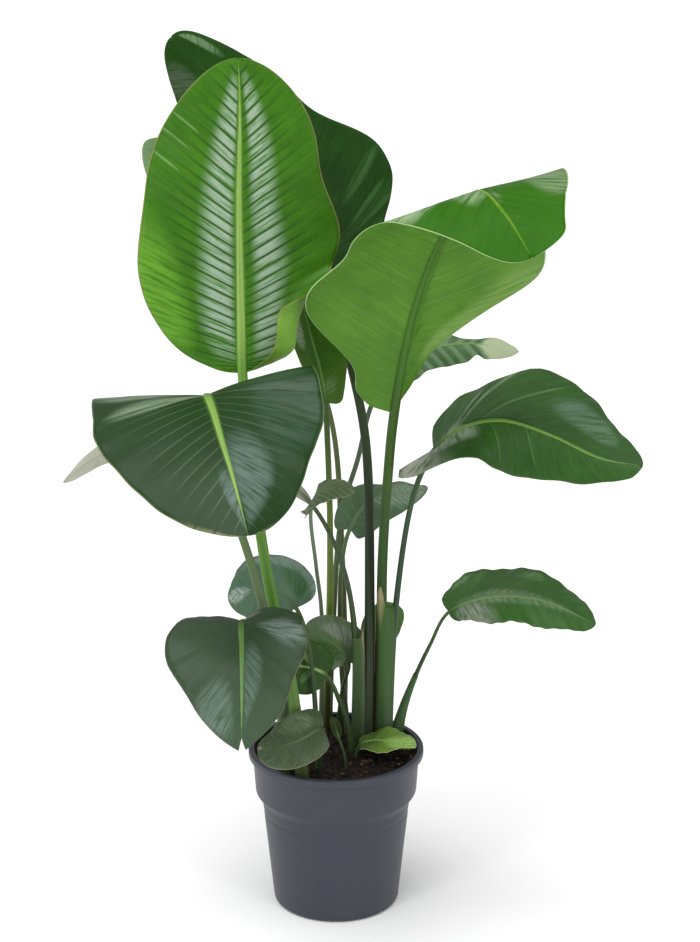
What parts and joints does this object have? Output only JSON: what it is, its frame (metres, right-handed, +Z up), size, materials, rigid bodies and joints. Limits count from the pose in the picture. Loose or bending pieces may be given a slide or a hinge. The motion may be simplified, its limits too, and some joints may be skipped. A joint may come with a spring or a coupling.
{
  "type": "potted bird of paradise plant",
  "caption": "Young giant bird of paradise: broad paddle leaves on long stalks that rise from dark compost in a plain plastic nursery pot with a rolled lip.",
  "frame": {"origin": "centre of the pot's flat underside", "axes": "+Z up the plant; -Y towards the picture's camera; +X to that viewer's right"},
  "size_m": [0.7554, 0.6213, 1.1761],
  "materials": {
    "pot_plastic": "satin slate-grey moulded plastic with faint turning marks",
    "compost": "rough dark peat with reddish-brown bark crumbs",
    "leaf_bright": "waxy satin bright green with fine side veins and a pale rib",
    "leaf_dark": "waxy satin dark green with fine side veins",
    "leaf_grey": "waxy grey-green with a mottled bloom and fine side veins",
    "leaf_pale": "pale grey-green underside with fine ribs",
    "leaf_young": "waxy yellow-green young leaf"
  },
  "bodies": {
    "root": {"pot": "pot_plastic", "soil": "compost", "leaf_01": "leaf_bright", "leaf_02": "leaf_dark", "leaf_03": "leaf_dark", "leaf_04": "leaf_bright", "leaf_05": "leaf_dark", "leaf_06": "leaf_dark", "leaf_07": "leaf_grey", "leaf_08": "leaf_grey", "leaf_09": "leaf_grey", "leaf_10": "leaf_dark", "leaf_11": "leaf_grey", "leaf_12": "leaf_grey", "leaf_13": "leaf_pale", "leaf_14": "leaf_grey", "leaf_15": "leaf_dark", "leaf_16": "leaf_dark", "leaf_17": "leaf_pale", "leaf_18": "leaf_dark", "leaf_19": "leaf_young", "leaf_20": "leaf_young"}
  },
  "joints": []
}
